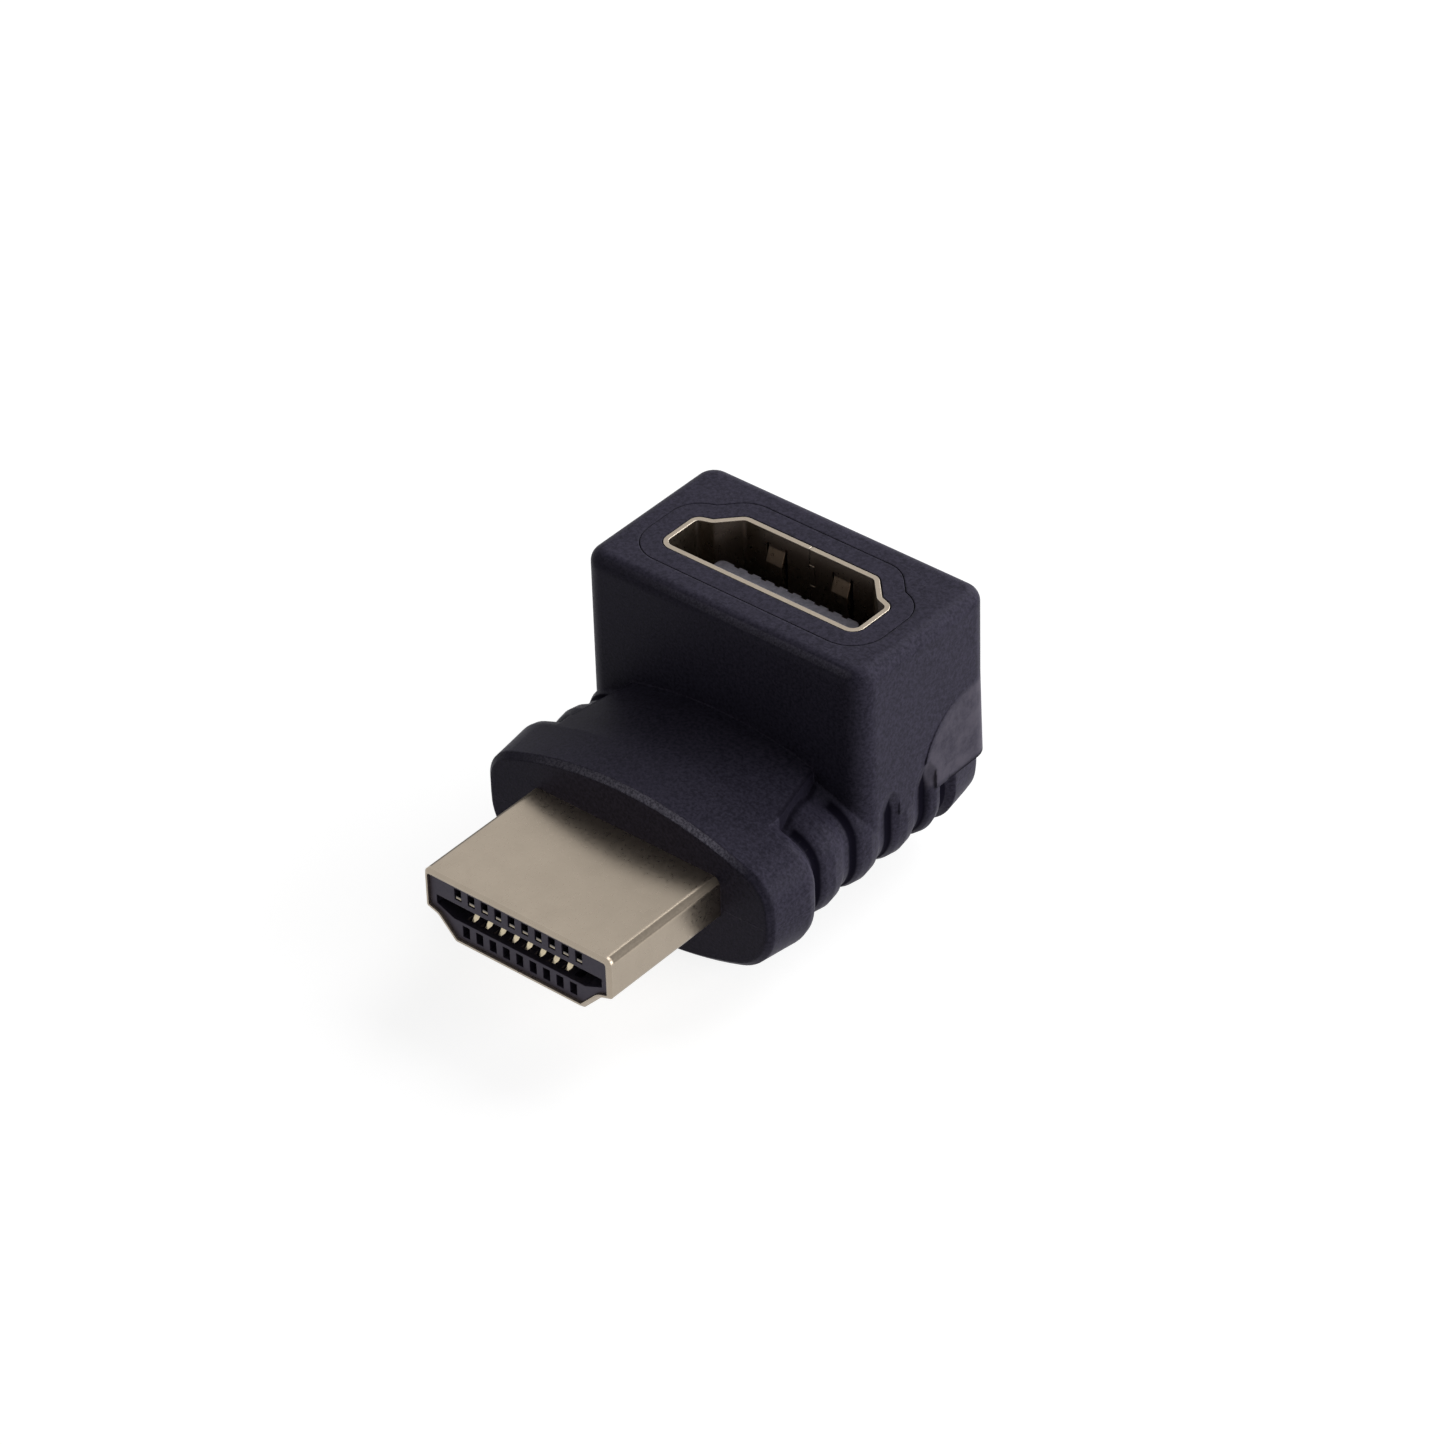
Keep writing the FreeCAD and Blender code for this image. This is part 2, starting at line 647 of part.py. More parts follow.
def rear_end():
    """Back of the block behind the last groove, which narrows a little toward the rear."""
    front = LAST_GROOVE + GROOVE_WIDTH / 2
    rise = [(front, RIB_DROP + GROOVE_DEPTH), (front + GROOVE_DEPTH, RIB_DROP)]
    return lens_steps(rise + rounded_rear(TOWER_BACK, RIB_DROP + REAR_TAPER, REAR_ROUND))


def tower_wire(z, grow):
    """Plan of the tower at a height, grown evenly."""
    half = TOWER_WIDTH / 2 + grow
    y0, y1 = TOWER_FRONT - grow, TOWER_BACK + grow
    plan = [(-half, y1), (half, y1), (half, y0), (-half, y0)]
    return rounded_wire(plan, [TOWER_CORNER + grow] * 4, lambda x, y: V(x, y, z))


def wall_grooves():
    """Upper ends of the grooves that run up the tower's side walls and fade out."""
    wheel = (WALL_GROOVE_RISE ** 2 + GROOVE_DEPTH ** 2) / (2 * GROOVE_DEPTH)
    centre = V(TOWER_WIDTH / 2 - GROOVE_DEPTH + wheel, 0, PARTING_RISE)
    half = (RIB_PITCH - GROOVE_WIDTH) / 2
    flank = [(step, drop) for step, drop in rib_profile(2 * half) if step > 0]
    low = flank[-1][1]
    rim = [(GROOVE_WIDTH / 2 + half - step, wheel - (low - drop)) for step, drop in reversed(flank)]
    shapes = []
    for i in range(2, FULL_RIBS + 1):
        y = FIRST_GROOVE + i * RIB_PITCH
        points = [(-step, radius) for step, radius in reversed(rim)] + rim
        plan = [(points[0][0], 0)] + points + [(points[-1][0], 0)]
        wire = straight_wire(plan, lambda step, radius: V(centre.x - radius, y + step, centre.z))
        wheel_shape = Part.Face(wire).revolve(centre, V(0, 1, 0), 360)
        upper = wheel_shape.common(block(0, BIG, 0, BIG, PARTING_RISE, BIG))
        shapes += [upper, mirrored(upper)]
    return shapes


def side_pad():
    """Slightly drafted lower back of the tower, bounded in front by an arc."""
    low = tower_wire(PARTING_RISE, PAD_PROUD)
    high = tower_wire(PARTING_RISE + 2 * PAD_HEIGHT, -PAD_PROUD)
    drafted = Part.makeLoft([low, high], True, True)
    y0 = TOWER_FRONT + PAD_SETBACK
    top = PARTING_RISE + PAD_HEIGHT
    arc = min(PAD_ARC, ROUND_SHARE * PAD_HEIGHT)
    swing = arc * (1 - math.sqrt(0.5))
    corners = [V(-BIG, y0, PARTING_RISE), V(-BIG, y0, top - arc)]
    corners += [V(-BIG, y0 + arc, top), V(-BIG, BIG, top), V(-BIG, BIG, PARTING_RISE)]
    edges = [Part.LineSegment(corners[0], corners[1]).toShape()]
    edges.append(Part.Arc(corners[1], V(-BIG, y0 + swing, top - swing), corners[2]).toShape())
    for i in (2, 3):
        edges.append(Part.LineSegment(corners[i], corners[i + 1]).toShape())
    edges.append(Part.LineSegment(corners[4], corners[0]).toShape())
    return drafted.common(swept(Part.Wire(edges), V(2 * BIG, 0, 0)))


def tower():
    """Upright part of the body round the socket."""
    shape = swept(tower_wire(PARTING_RISE, 0), V(0, 0, SOCKET_RISE - PARTING_RISE))
    shape = shape.makeFillet(TOWER_TOP_ROUND, edges_at(shape, "z", SOCKET_RISE))
    return shape.fuse(side_pad()).cut(Part.makeCompound(wall_grooves()))


def body_outside():
    """Whole outside form of the body, with a narrow flat to rest on, as one solid without its inside."""
    core = lens_prism(COLLAR_BACK - COLLAR_LAND, LAST_GROOVE + GROOVE_WIDTH, RIB_DROP + GROOVE_DEPTH)
    form = joined([collar(), crown_patch(), core, rear_end(), tower()] + ribs())
    return form.cut(block(-BIG, BIG, 0, BIG, -BIG, UNDERSIDE))


def inner_outside():
    """Outside form of the inner moulding: a low core and a column round the socket."""
    core = block(-CORE_WIDTH / 2, CORE_WIDTH / 2, CORE_FRONT, CORE_BACK, -CORE_BOTTOM, CORE_TOP)
    upright = [e for e in core.Edges if abs(e.Vertexes[0].Z - e.Vertexes[1].Z) > CORE_TOP]
    core = core.makeFillet(CORE_ROUND, upright)
    column = socket_prism(SOCKET_OUTSIDE + COLUMN_WALL, 0, SOCKET_RISE)
    return joined([core, column])


def outer_body():
    """Flexible outer moulding."""
    passage = plug_prism(0, BODY_FRONT - OVERCUT, CORE_FRONT + OVERCUT)
    around = SOCKET_OUTSIDE + COLUMN_WALL + JOINT_LINE
    line = socket_prism(around, SOCKET_RISE - JOINT_DEPTH, SOCKET_RISE + OVERCUT)
    return body_outside().cut(Part.makeCompound([inner_outside(), passage])).cut(line)


def inner_mould():
    """Inner moulding that locks the plug, the board and the socket together."""
    half = BOARD_WIDTH / 2
    back = SOCKET_BACK_Y + FOOT_OUTREACH + BOARD_BACK_MARGIN
    pocket = block(-half, half, PLUG_SHELL_END, back, -POCKET_DEPTH, POCKET_HEIGHT)
    plug_hole = plug_prism(0, CORE_FRONT - OVERCUT, PLUG_SHELL_END)
    socket_hole = socket_prism(SOCKET_OUTSIDE, 0, SOCKET_RISE + OVERCUT)
    rim = socket_prism(SOCKET_OUTSIDE + RIM_GAP, SOCKET_RISE - RIM_GAP_DEPTH, SOCKET_RISE + OVERCUT)
    shape = inner_outside().cut(pocket)
    return shape.cut(plug_hole).cut(socket_hole).cut(rim)


# Every piece by name


def pieces():
    """All the pieces of the adapter, each as (name, shape)."""
    yield "outer_body", outer_body()
    yield "inner_mould", inner_mould()
    yield "plug_shell", plug_shell()
    yield "plug_insulator", plug_insulator()
    yield "circuit_board", board()
    yield "socket_shell", socket_shell()
    yield "socket_insulator", socket_insulator()
    for side, places in contact_rows():
        row = "upper" if side > 0 else "lower"
        for i, x in enumerate(places):
            hidden = SET_BACK if side < 0 and i == len(places) - 1 else 0
            yield f"plug_contact_{row}_{i + 1:02d}", plug_contact(side, x, hidden)
    for side, places in strip_rows():
        row = "front" if side < 0 else "back"
        for i, x in enumerate(places):
            yield f"socket_contact_{row}_{i + 1:02d}", socket_contact(side, x)


def main():
    os.makedirs("parts", exist_ok=True)
    for name, shape in pieces():
        shape = shape.copy()
        shape.translate(-ORIGIN)
        solids = shape.Solids
        if len(solids) != 1 or not shape.isValid():
            print(name, "solids", len(solids), "valid", shape.isValid())
        solids[0].exportStep(f"parts/{name}.step")


main()
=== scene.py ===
import math

import bpy
from mathutils import Matrix, Vector


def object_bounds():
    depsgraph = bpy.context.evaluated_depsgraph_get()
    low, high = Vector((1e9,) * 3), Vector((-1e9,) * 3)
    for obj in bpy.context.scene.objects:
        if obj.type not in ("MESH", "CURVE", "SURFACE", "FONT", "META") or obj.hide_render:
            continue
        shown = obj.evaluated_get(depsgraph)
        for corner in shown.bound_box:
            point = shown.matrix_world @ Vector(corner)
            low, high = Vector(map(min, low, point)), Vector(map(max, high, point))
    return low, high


# Right angle video adapter: materials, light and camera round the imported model, in metres.

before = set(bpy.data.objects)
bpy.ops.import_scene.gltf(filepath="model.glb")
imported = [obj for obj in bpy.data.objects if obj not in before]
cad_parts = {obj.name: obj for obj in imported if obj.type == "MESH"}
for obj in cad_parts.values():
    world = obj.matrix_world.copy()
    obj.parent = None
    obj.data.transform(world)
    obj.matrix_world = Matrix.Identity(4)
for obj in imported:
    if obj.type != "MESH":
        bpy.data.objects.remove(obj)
bpy.context.view_layer.update()
cad_low, cad_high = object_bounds()

MM = 0.001

# Camera, solved from the photograph
PHOTO_WIDTH = 1445
FOCAL_PIXELS = 6499.4
SENSOR = 36.0
AZIMUTH = 41.02
ELEVATION = 36.93
ROLL = -1.844
AIM = Vector((0.677, 2.455, 10.833)) * MM
DISTANCE = 370.43 * MM
CLIP_NEAR = 0.01
CLIP_FAR = 20.0

# Places along the part, from the plug's tip to the back
TIP = cad_low[1]
PLUG_RIM = TIP + 0.335 * MM
PLUG_MOUTH = TIP + 2.935 * MM
COLLAR_BACK = TIP + 13.70 * MM
FRONT_GROOVES = (TIP + 14.335 * MM, TIP + 17.585 * MM)
TOWER_FRONT = TIP + 18.15 * MM
PAD_FRONT = TIP + 25.535 * MM
PAD_ARC_Y = TIP + 28.30 * MM

# Grooves on the tower's side walls, as the place of each and the height of its upper end
WALL_GROOVES = (
    (TIP + 20.755 * MM, 8.3 * MM),
    (TIP + 23.885 * MM, 8.3 * MM),
    (TIP + 25.835 * MM, 6.9 * MM),
)
WALL_GROOVE_TAPER = 1.5 * MM
GROOVE_HALF = 0.20 * MM
GROOVE_FADE = 0.22 * MM

# Distances from the part's middle to its sides
GRIP_EDGE_BACK = 6.8 * MM
GRIP_EDGE = 7.8 * MM
RIBS_START = 8.2 * MM
RIBS_FULL = 8.7 * MM
SIDE_WALL = 10.0 * MM

# Heights
PARTING_HEIGHT = 5.3 * MM
CONTACT_TOP = 6.1 * MM
PAD_FLOOR = 6.3 * MM
PAD_ARC_Z = 7.0 * MM
SOCKET_RIM = cad_high[2] - 0.10 * MM

# Radii, widths of lines and depths of fades
PAD_ARC = 4.8 * MM
PAD_FADE = 0.35 * MM
MOULDING_EDGE = 0.14 * MM
RIM_EDGE = 0.08 * MM
RIB_EDGE = 0.30 * MM
PLATE_EDGE = 0.08 * MM
RESIN_EDGE = 0.05 * MM
CONTACT_EDGE = 0.03 * MM
PARTING_HALF = 0.06 * MM
SOCKET_SHADE = 0.7 * MM

# Directions of the rounded edges that masks pick out by their normal
HALF_TURNED = math.sqrt(0.5)
FRONT_EDGE = (0.0, -HALF_TURNED, HALF_TURNED)
UPPER_FOLDS = ((-HALF_TURNED, 0.0, HALF_TURNED), (HALF_TURNED, 0.0, HALF_TURNED))

# Colours, as linear values
NAVY_BLACK = (0.037, 0.0335, 0.054)
DEEP_NAVY = (0.016, 0.0145, 0.025)
WORN_NAVY = (0.063, 0.057, 0.087)
# Painted shade for the grooves and creases
GROOVE_SHADE = (0.006, 0.005, 0.011)
# Painted light for the pad, lighter as if it caught more light
PAD_LIGHT_GREY = (0.108, 0.098, 0.128)
# Painted highlight for the front edges
FRONT_EDGE_HIGHLIGHT = (0.42, 0.40, 0.50)
DUST = (0.20, 0.19, 0.21)
CHAMPAGNE = (0.38, 0.323, 0.258)
TARNISH = (0.32, 0.270, 0.214)
# Painted highlight for the plate's edges
PLATE_HIGHLIGHT = (0.80, 0.74, 0.65)
# Painted shade for the plate's upper folds
FOLD_SHADE = (0.13, 0.11, 0.088)
SHADED_PLATE = (0.26, 0.21, 0.165)
RESIN = (0.033, 0.029, 0.044)
RESIN_LIGHT = (0.055, 0.049, 0.068)
RESIN_SHEEN = (0.85, 0.73, 1.0)
TONGUE_GREY = (0.13, 0.13, 0.165)
TONGUE_LIGHT = (0.24, 0.235, 0.30)
TONGUE_SHEEN = (1.0, 1.0, 1.0)
GOLD = (0.66, 0.57, 0.40)
DARK_END_GREY = (0.09, 0.085, 0.09)
LAMINATE = (0.02, 0.09, 0.045)
LAMINATE_WEAVE = (0.03, 0.13, 0.06)
FLOOR_PAPER = (0.34, 0.34, 0.34)
FLOOR_FIBRE = (0.36, 0.36, 0.36)
WHITE = (1.0, 1.0, 1.0, 1.0)

# Floor and light, in metres and watts
FLOOR_REACH = 3.0
FLOOR_LIGHT = 0.86
WORLD_LIGHT = 0.08
BACKGROUND_LIGHT = 1.0
LAMP_AIM = (0.0, 0.0, 0.01)
KEY_PLACE = (0.88, 0.38, 0.12)
KEY_WIDTH = 1.0
KEY_POWER = 10.0
TOP_PLACE = (0.10, 0.78, 0.60)
TOP_WIDTH = 0.75
TOP_POWER = 6.6


# Node helpers


class Tree:
    """A material's node tree with short ways to add nodes and join them."""

    def __init__(self, name):
        self.material = bpy.data.materials.new(name)
        self.material.use_nodes = True
        self.nodes = self.material.node_tree.nodes
        self.links = self.material.node_tree.links
        self.surface = self.nodes["Principled BSDF"]
        self.place = self.add("ShaderNodeTexCoord").outputs["Object"]

    def add(self, kind, **settings):
        """A new node with its settings."""
        node = self.nodes.new(kind)
        for key, value in settings.items():
            setattr(node, key, value)
        return node

    def join(self, source, target):
        """Link an output to an input."""
        self.links.new(source, target)

    def fill(self, socket, value):
        """Give an input a number, a colour or a link."""
        if isinstance(value, tuple):
            socket.default_value = (*value, 1.0)
        elif isinstance(value, (int, float)):
            socket.default_value = value
        else:
            self.join(value, socket)

    def math(self, operation, *values):
        """The result of a sum, from numbers or links."""
        node = self.add("ShaderNodeMath", operation=operation)
        for socket, value in zip(node.inputs, values):
            self.fill(socket, value)
        return node.outputs[0]

    def stretched(self, sizes):
        """The object's place, as multiples of a size along each axis."""
        node = self.add("ShaderNodeMapping")
        node.inputs["Scale"].default_value = [1 / size for size in sizes]
        self.join(self.place, node.inputs["Vector"])
        return node.outputs["Vector"]

    def noise(self, size, detail=2.0, rough=0.5):
        """Noise with features of about a size in metres, or of a size along each axis."""
        node = self.add("ShaderNodeTexNoise")
        node.inputs["Detail"].default_value = detail
        node.inputs["Roughness"].default_value = rough
        if isinstance(size, tuple):
            node.inputs["Scale"].default_value = 1.0
            self.join(self.stretched(size), node.inputs["Vector"])
        else:
            node.inputs["Scale"].default_value = 1 / size
            self.join(self.place, node.inputs["Vector"])
        return node.outputs["Fac"]

    def ramp(self, value, low, high, out_low=0.0, out_high=1.0):
        """A value taken from one range to another and held at its ends."""
        node = self.add("ShaderNodeMapRange", clamp=True)
        names = ("From Min", "From Max", "To Min", "To Max")
        for name, number in zip(names, (low, high, out_low, out_high)):
            node.inputs[name].default_value = number
        self.join(value, node.inputs["Value"])
        return node.outputs["Result"]

    def fade(self, distance, core, rim, share=1.0):
        """A share up to the core distance, and nought past the rim."""
        return self.ramp(distance, core, rim, share, 0.0)

    def mix(self, factor, a, b):
        """A colour between a and b."""
        node = self.add("ShaderNodeMix", data_type="RGBA")
        factor_socket, a_socket, b_socket = node.inputs[0], node.inputs[6], node.inputs[7]
        self.fill(factor_socket, factor)
        self.fill(a_socket, a)
        self.fill(b_socket, b)
        return node.outputs[2]

    def coordinate(self, axis):
        """One of the object's own coordinates."""
        node = self.add("ShaderNodeSeparateXYZ")
        self.join(self.place, node.inputs[0])
        return node.outputs[axis]

    def most(self, values):
        """The greatest of several values."""
        found = values[0]
        for value in values[1:]:
            found = self.math("MAXIMUM", found, value)
        return found

    def all_of(self, values):
        """The product of several masks."""
        found = values[0]
        for value in values[1:]:
            found = self.math("MULTIPLY", found, value)
        return found

    def away(self, value, centre):
        """Distance of a value from a centre."""
        return self.math("ABSOLUTE", self.math("SUBTRACT", value, centre))

    def soft_edges(self, radius):
        """Normal that rounds the edges of the mesh by a radius."""
        node = self.add("ShaderNodeBevel", samples=6)
        self.fill(node.inputs["Radius"], radius)
        return node.outputs["Normal"]

    def cosine(self, soft):
        """A node for the cosine between a normal and a direction, which goes into its second input."""
        node = self.add("ShaderNodeVectorMath", operation="DOT_PRODUCT")
        self.join(soft, node.inputs[0])
        return node

    def edge_mask(self, soft, reach):
        """One on the edges of the mesh and nought elsewhere, from the normal that rounds the edges."""
        node = self.cosine(soft)
        self.join(self.add("ShaderNodeNewGeometry").outputs["Normal"], node.inputs[1])
        return self.fade(node.outputs["Value"], 1.0 - reach, 1.0)

    def facing(self, soft, direction, least):
        """One where a normal points in a direction, nought where their cosine is under the least."""
        node = self.cosine(soft)
        node.inputs[1].default_value = direction
        return self.ramp(node.outputs["Value"], least, 0.5 * (1 + least))

    def bump(self, value, depth, strength=1.0, normal=None):
        """Normal with a value's relief, over the mesh's own normal or a given one."""
        node = self.add("ShaderNodeBump")
        node.inputs["Strength"].default_value = strength
        node.inputs["Distance"].default_value = depth
        self.join(value, node.inputs["Height"])
        if normal:
            self.join(normal, node.inputs["Normal"])
        return node.outputs["Normal"]

    def set(self, **values):
        """Fill the surface's own inputs by name, and return the material."""
        for name, value in values.items():
            title = name.replace("_", " ").title().replace("Ior", "IOR")
            self.fill(self.surface.inputs[title], value)
        return self.material


# Marks and masks


def specks(tree, cell, share):
    """Small sparse spots: one where a speck of dust lies."""
    node = tree.add("ShaderNodeTexVoronoi")
    node.inputs["Scale"].default_value = 1 / cell
    tree.join(tree.place, node.inputs["Vector"])
    chosen = tree.math("GREATER_THAN", node.outputs["Color"], 1 - share)
    return tree.math("MULTIPLY", chosen, tree.fade(node.outputs["Distance"], 0.10, 0.26))


def scratches(tree, width, length, amount):
    """Fine broken lines that run from front to back."""
    lines = tree.noise((width, length, width), detail=1.0, rough=0.4)
    least = 1 - amount
    return tree.ramp(lines, least, least + 0.05)


def groove_shade_mask(tree):
    """Painted shade: one in the grooves between the ribs and in the creases beside the grip and under
    the pad, where shade falls.
    """
    x, y, z = (tree.coordinate(axis) for axis in "XYZ")
    aside = tree.away(x, 0.0)

    depths = [tree.math("SUBTRACT", GROOVE_HALF, tree.away(y, place)) for place in FRONT_GROOVES]
    for place, top in WALL_GROOVES:
        half = tree.ramp(z, top - WALL_GROOVE_TAPER, top, GROOVE_HALF, -GROOVE_FADE)
        depths.append(tree.math("SUBTRACT", half, tree.away(y, place)))
    grooves = tree.all_of([
        tree.ramp(tree.most(depths), -GROOVE_FADE, 0.0),
        tree.ramp(aside, GRIP_EDGE, GRIP_EDGE + 0.5 * MM),
    ])

    pad_crease = tree.all_of([
        tree.fade(tree.away(z, PAD_FLOOR), 0.06 * MM, 0.24 * MM, 0.8),
        tree.ramp(y, PAD_FRONT, PAD_FRONT + 0.3 * MM),
        tree.ramp(aside, SIDE_WALL - 0.2 * MM, SIDE_WALL),
    ])

    grip_edge = tree.ramp(y, COLLAR_BACK, TOWER_FRONT, GRIP_EDGE, GRIP_EDGE_BACK)
    beside = tree.away(tree.math("SUBTRACT", aside, grip_edge), 0.10 * MM)
    grip_crease = tree.all_of([
        tree.fade(beside, 0.12 * MM, 0.38 * MM, 0.75),
        tree.ramp(y, COLLAR_BACK, COLLAR_BACK + 0.2 * MM),
        tree.fade(y, TOWER_FRONT - 0.25 * MM, TOWER_FRONT - 0.1 * MM),
    ])
    return tree.most([grooves, pad_crease, grip_crease])


def pad_light_mask(tree):
    """Painted light: one on the pad low at the back of each side wall, inside its arc, painted lighter
    as if it caught more light.
    """
    x, y, z = (tree.coordinate(axis) for axis in "XYZ")
    before = tree.math("MAXIMUM", tree.math("SUBTRACT", PAD_ARC_Y, y), 0.0)
    above = tree.math("MAXIMUM", tree.math("SUBTRACT", z, PAD_ARC_Z), 0.0)
    squares = [tree.math("MULTIPLY", length, length) for length in (before, above)]
    reach = tree.math("SQRT", tree.math("ADD", *squares))
    patchiness = tree.noise(1.1 * MM, detail=4.0, rough=0.68)
    return tree.all_of([
        tree.fade(reach, PAD_ARC - PAD_FADE, PAD_ARC),
        tree.ramp(z, PAD_FLOOR, PAD_FLOOR + 0.4 * MM),
        tree.ramp(tree.away(x, 0.0), SIDE_WALL - 1.0 * MM, SIDE_WALL),
        tree.ramp(patchiness, 0.34, 0.62, 0.35, 1.0),
    ])


def edge_highlight_mask(tree, soft):
    """Painted highlight: one on the front edges, most on the collar's right half, and faint on the
    tower.
    """
    patchiness = tree.noise(0.13 * MM, detail=2.0, rough=0.6)
    return tree.all_of([
        tree.facing(soft, FRONT_EDGE, least=0.965),
        tree.ramp(patchiness, 0.38, 0.62, 0.30, 1.0),
        tree.ramp(tree.coordinate("Y"), COLLAR_BACK, TOWER_FRONT, 0.85, 0.22),
        tree.ramp(tree.coordinate("X"), -GRIP_EDGE, 0.0, 0.25, 1.0),
    ])


# Materials


def navy(tree, grain):
    """Dark navy that varies with the grain and in broad worn patches."""
    patches = tree.noise(3.5 * MM, detail=3.0, rough=0.55)
    colour = tree.mix(tree.ramp(grain, 0.36, 0.64), DEEP_NAVY, WORN_NAVY)
    colour = tree.mix(0.25, colour, NAVY_BLACK)
    return tree.mix(tree.ramp(patches, 0.3, 0.75, 0.0, 0.22), colour, WORN_NAVY)


def handled(tree, colour):
    """A colour under faint scratches and specks of dust."""
    marks = scratches(tree, width=0.08 * MM, length=1.2 * MM, amount=0.28)
    spots = specks(tree, cell=0.42 * MM, share=0.05)
    colour = tree.mix(tree.math("MULTIPLY", marks, 0.10), colour, DUST)
    return tree.mix(tree.math("MULTIPLY", spots, 0.30), colour, DUST)


def moulded_relief(tree, grain):
    """Height of the moulded grain and of the fine parting line round the part."""
    fine = tree.noise(0.06 * MM, detail=1.0)
    relief = tree.math("ADD", grain, tree.math("MULTIPLY", fine, 0.5))
    parting = tree.away(tree.coordinate("Z"), PARTING_HEIGHT)
    return tree.math("ADD", relief, tree.fade(parting, 0.0, PARTING_HALF, 1.5))


def moulding(name, grain_depth, edge_radius, gripped):
    """Dark flexible plastic with a fine moulded grain, dust and handling marks, and a painted highlight
    on its front edges; where gripped, also painted shade in the grooves and creases and a pad painted
    lighter as painted light.
    """
    tree = Tree(name)
    grain = tree.noise(0.20 * MM, detail=3.0, rough=0.65)
    colour = navy(tree, grain)
    rough = tree.ramp(grain, 0.3, 0.7, 0.40, 0.56)
    radius = edge_radius
    if gripped:
        grooves = groove_shade_mask(tree)
        # painted light: the pad is painted lighter
        colour = tree.mix(pad_light_mask(tree), colour, PAD_LIGHT_GREY)
        # painted shade in the grooves and creases
        colour = tree.mix(grooves, colour, GROOVE_SHADE)
        rough = tree.math("MAXIMUM", rough, grooves)
        aside = tree.away(tree.coordinate("X"), 0.0)
        radius = tree.ramp(aside, RIBS_START, RIBS_FULL, edge_radius, RIB_EDGE)
    soft = tree.soft_edges(radius)
    # painted highlight along the front edges
    colour = tree.mix(edge_highlight_mask(tree, soft), colour, FRONT_EDGE_HIGHLIGHT)
    colour = handled(tree, colour)
    normal = tree.bump(moulded_relief(tree, grain), grain_depth, 0.55, soft)
    return tree.set(base_color=colour, roughness=rough, specular_ior_level=0.05, normal=normal)


def plated(name, line_sizes, shade_folds_behind=None, shaded_below=None):
    """Satin nickel plate over folded sheet, with faint drawing lines and dull patches, a painted
    highlight on its edges, painted shade on the upper folds behind the rim, and painted shade deep in
    the socket.
    """
    tree = Tree(name)
    lines = tree.noise(line_sizes)
    patches = tree.noise(1.8 * MM, detail=4.0, rough=0.6)
    mottle = tree.noise(0.25 * MM, detail=3.0, rough=0.6)
    soft = tree.soft_edges(PLATE_EDGE)
    edge = tree.edge_mask(soft, reach=0.3)
    colour = tree.mix(tree.ramp(patches, 0.35, 0.8, 0.0, 0.5), CHAMPAGNE, TARNISH)
    # painted highlight on the edges
    colour = tree.mix(tree.math("MULTIPLY", edge, 0.4), colour, PLATE_HIGHLIGHT)
    satin = tree.ramp(mottle, 0.3, 0.7, 0.25, 0.33)
    rough = tree.math("ADD", satin, tree.ramp(lines, 0.35, 0.7, 0.0, 0.04))
    if shade_folds_behind is not None:
        turned = tree.most([tree.facing(soft, fold, least=0.84) for fold in UPPER_FOLDS])
        behind = tree.ramp(tree.coordinate("Y"), shade_folds_behind, shade_folds_behind + 0.1 * MM)
        folds = tree.math("MULTIPLY", turned, behind)
        # painted shade on the upper folds behind the rim, which also damps the lamp's reflection there
        colour = tree.mix(folds, colour, FOLD_SHADE)
        rough = tree.math("ADD", rough, tree.math("MULTIPLY", folds, 0.3))
    if shaded_below is not None:
        deep = tree.fade(tree.coordinate("Z"), shaded_below - SOCKET_SHADE, shaded_below)
        colour = tree.mix(deep, colour, SHADED_PLATE)
    relief = tree.math("ADD", tree.math("MULTIPLY", lines, 0.5), mottle)
    normal = tree.bump(relief, 0.003 * MM, 0.5, soft)
    return tree.set(base_color=colour, metallic=1.0, roughness=rough, normal=normal)


def resin(name, base, light, gloss, sheen):
    """Glass-filled resin with short fibres and a slight sheen."""
    tree = Tree(name)
    fibres = tree.noise((0.05 * MM, 0.3 * MM, 0.05 * MM), rough=0.6)
    patches = tree.noise(0.35 * MM, detail=3.0, rough=0.6)
    soft = tree.soft_edges(RESIN_EDGE)
    edge = tree.edge_mask(soft, reach=0.3)
    colour = tree.mix(tree.ramp(patches, 0.35, 0.65, 0.0, 0.7), base, light)
    # the edges are painted lighter, as a painted highlight
    colour = tree.mix(tree.math("MULTIPLY", edge, 0.4), colour, light)
    rough = tree.ramp(fibres, 0.3, 0.7, 0.34, 0.50)
    normal = tree.bump(fibres, 0.006 * MM, 0.5, soft)
    tree.set(specular_ior_level=gloss, specular_tint=sheen)
    return tree.set(base_color=colour, roughness=rough, normal=normal)


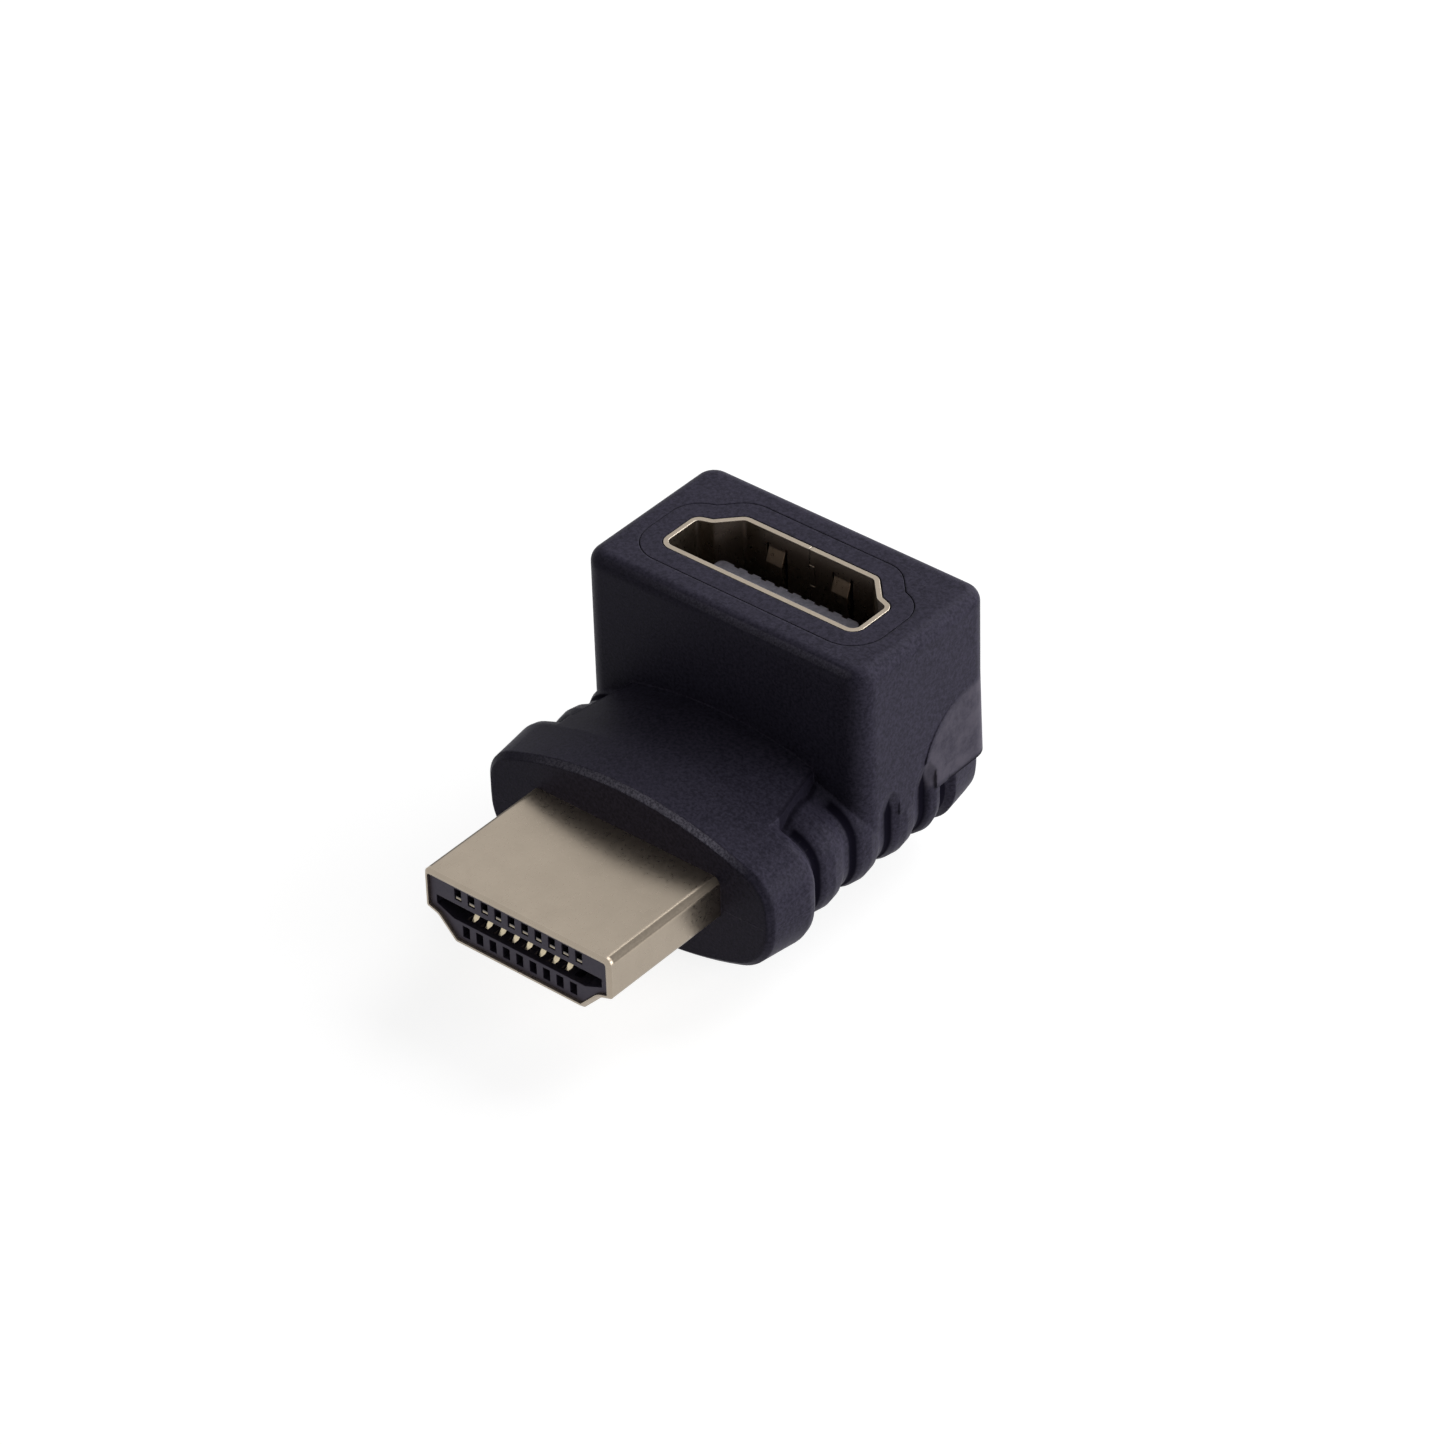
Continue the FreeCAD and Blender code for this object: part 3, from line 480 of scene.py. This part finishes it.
def contact_metal():
    """Gold flash over copper alloy, with rolled lines, slight wear, and darker grey at the ends high up
    near the plug's mouth.
    """
    tree = Tree("gold_flash")
    lines = tree.noise((0.04 * MM, 1.2 * MM, 1.2 * MM), detail=1.0)
    patches = tree.noise(0.5 * MM)
    colour = tree.mix(tree.ramp(patches, 0.35, 0.75, 0.0, 0.5), GOLD, CHAMPAGNE)
    end = tree.all_of([
        tree.ramp(tree.coordinate("Z"), CONTACT_TOP, CONTACT_TOP + 0.2 * MM),
        tree.fade(tree.coordinate("Y"), PLUG_MOUTH - 0.2 * MM, PLUG_MOUTH),
    ])
    # the ends high up near the mouth are painted darker grey
    colour = tree.mix(end, colour, DARK_END_GREY)
    rough = tree.ramp(lines, 0.3, 0.7, 0.20, 0.32)
    normal = tree.bump(lines, 0.002 * MM, 0.4, tree.soft_edges(CONTACT_EDGE))
    return tree.set(base_color=colour, metallic=1.0, roughness=rough, normal=normal)


def board_laminate():
    """Green solder mask over a woven board."""
    tree = Tree("solder_mask")
    wave = tree.add("ShaderNodeTexWave", wave_type="BANDS", bands_direction="DIAGONAL")
    wave.inputs["Scale"].default_value = 1 / (0.5 * MM)
    wave.inputs["Distortion"].default_value = 1.5
    tree.join(tree.place, wave.inputs["Vector"])
    weave = wave.outputs["Fac"]
    colour = tree.mix(tree.ramp(weave, 0.2, 0.8, 0.0, 0.4), LAMINATE, LAMINATE_WEAVE)
    rough = tree.ramp(tree.noise(0.4 * MM), 0.3, 0.7, 0.28, 0.42)
    return tree.set(base_color=colour, roughness=rough, normal=tree.bump(weave, 0.004 * MM))


def dress(names, material):
    """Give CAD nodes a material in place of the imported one."""
    for name in names:
        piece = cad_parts[name]
        piece.data.materials.clear()
        piece.data.materials.append(material)


def dress_all():
    """Give every CAD node its material."""
    contacts = [name for name in sorted(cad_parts) if "_contact_" in name]
    line_width, line_length = 0.05 * MM, 2.2 * MM
    plug_lines = (line_width, line_length, line_width)
    socket_lines = (line_width, line_width, line_length)
    dress(["outer_body"], moulding("outer_moulding", 0.012 * MM, MOULDING_EDGE, gripped=True))
    dress(["inner_mould"], moulding("inner_moulding", 0.010 * MM, RIM_EDGE, gripped=False))
    dress(["plug_shell"], plated("plug_plate", plug_lines, shade_folds_behind=PLUG_RIM))
    dress(["socket_shell"], plated("socket_plate", socket_lines, shaded_below=SOCKET_RIM))
    dress(["plug_insulator"], resin("plug_resin", RESIN, RESIN_LIGHT, 0.38, RESIN_SHEEN))
    dress(["socket_insulator"], resin("tongue_resin", TONGUE_GREY, TONGUE_LIGHT, 0.30, TONGUE_SHEEN))
    dress(["circuit_board"], board_laminate())
    dress(contacts, contact_metal())


# Surroundings


def background_rays(nodes, links):
    """One for the rays by which the camera, shiny surfaces and clear ones see the background."""
    path = nodes.new("ShaderNodeLightPath")
    seen = path.outputs["Is Camera Ray"]
    for name in ("Is Glossy Ray", "Is Transmission Ray"):
        either = nodes.new("ShaderNodeMath")
        either.operation = "MAXIMUM"
        links.new(seen, either.inputs[0])
        links.new(path.outputs[name], either.inputs[1])
        seen = either.outputs[0]
    return seen


def floor_paper():
    """Pale paper that the camera sees as white except where a shadow falls."""
    tree = Tree("floor_paper")
    fibre = tree.noise(0.6 * MM, detail=3.0)
    colour = tree.mix(tree.ramp(fibre, 0.3, 0.7, 0.0, 0.5), FLOOR_PAPER, FLOOR_FIBRE)
    glow = tree.math("MULTIPLY", background_rays(tree.nodes, tree.links), FLOOR_LIGHT)
    tree.surface.inputs["Emission Color"].default_value = WHITE
    tree.set(emission_strength=glow)
    return tree.set(base_color=colour, roughness=0.9, specular_ior_level=0.0)


def floor():
    """Plain floor under the part."""
    near, far = -FLOOR_REACH, FLOOR_REACH
    corners = [(near, near, 0), (far, near, 0), (far, far, 0), (near, far, 0)]
    mesh = bpy.data.meshes.new("studio_floor")
    mesh.from_pydata(corners, [], [(0, 1, 2, 3)])
    mesh.materials.append(floor_paper())
    piece = bpy.data.objects.new("studio_floor", mesh)
    bpy.context.scene.collection.objects.link(piece)


def lamp(name, place, width, power):
    """Large soft lamp that faces the part."""
    data = bpy.data.lights.new(name, "AREA")
    data.shape = "DISK"
    data.size = width
    data.energy = power
    piece = bpy.data.objects.new(name, data)
    bpy.context.scene.collection.objects.link(piece)
    piece.location = place
    piece.rotation_mode = "QUATERNION"
    piece.rotation_quaternion = (Vector(LAMP_AIM) - Vector(place)).to_track_quat("-Z", "Y")


def lights():
    """Soft key from the right and a soft light from above and behind, as in the photograph."""
    lamp("key", KEY_PLACE, KEY_WIDTH, KEY_POWER)
    lamp("top", TOP_PLACE, TOP_WIDTH, TOP_POWER)


def surroundings():
    """White world as the camera and shiny surfaces see it, and a faint one as a source of light."""
    world = bpy.data.worlds.new("studio")
    bpy.context.scene.world = world
    world.use_nodes = True
    nodes, links = world.node_tree.nodes, world.node_tree.links
    mix = nodes.new("ShaderNodeMixShader")
    links.new(background_rays(nodes, links), mix.inputs[0])
    plain, shown = nodes["Background"], nodes.new("ShaderNodeBackground")
    strengths = (WORLD_LIGHT, BACKGROUND_LIGHT)
    for background, strength, socket in zip((plain, shown), strengths, mix.inputs[1:]):
        background.inputs["Color"].default_value = WHITE
        background.inputs["Strength"].default_value = strength
        links.new(background.outputs[0], socket)
    links.new(mix.outputs[0], nodes["World Output"].inputs["Surface"])


def camera():
    """Camera at the photograph's viewing angle, from its azimuth, elevation and roll round the aim."""
    azimuth, elevation = math.radians(AZIMUTH), math.radians(ELEVATION)
    level = math.cos(elevation)
    back = Vector((math.sin(azimuth) * level, -math.cos(azimuth) * level, math.sin(elevation)))
    data = bpy.data.cameras.new("camera")
    data.sensor_width = SENSOR
    data.lens = FOCAL_PIXELS / PHOTO_WIDTH * SENSOR
    data.clip_start = CLIP_NEAR
    data.clip_end = CLIP_FAR
    piece = bpy.data.objects.new("camera", data)
    bpy.context.scene.collection.objects.link(piece)
    turn = (-back).to_track_quat("-Z", "Y").to_matrix().to_4x4()
    turn = turn @ Matrix.Rotation(math.radians(ROLL), 4, "Z")
    piece.matrix_world = Matrix.Translation(AIM + back * DISTANCE) @ turn
    bpy.context.scene.camera = piece


def write_sizes():
    """Bring the view layer up to date."""
    bpy.context.view_layer.update()


dress_all()
floor()
surroundings()
lights()
camera()
bpy.context.scene.view_settings.view_transform = "Standard"
write_sizes()
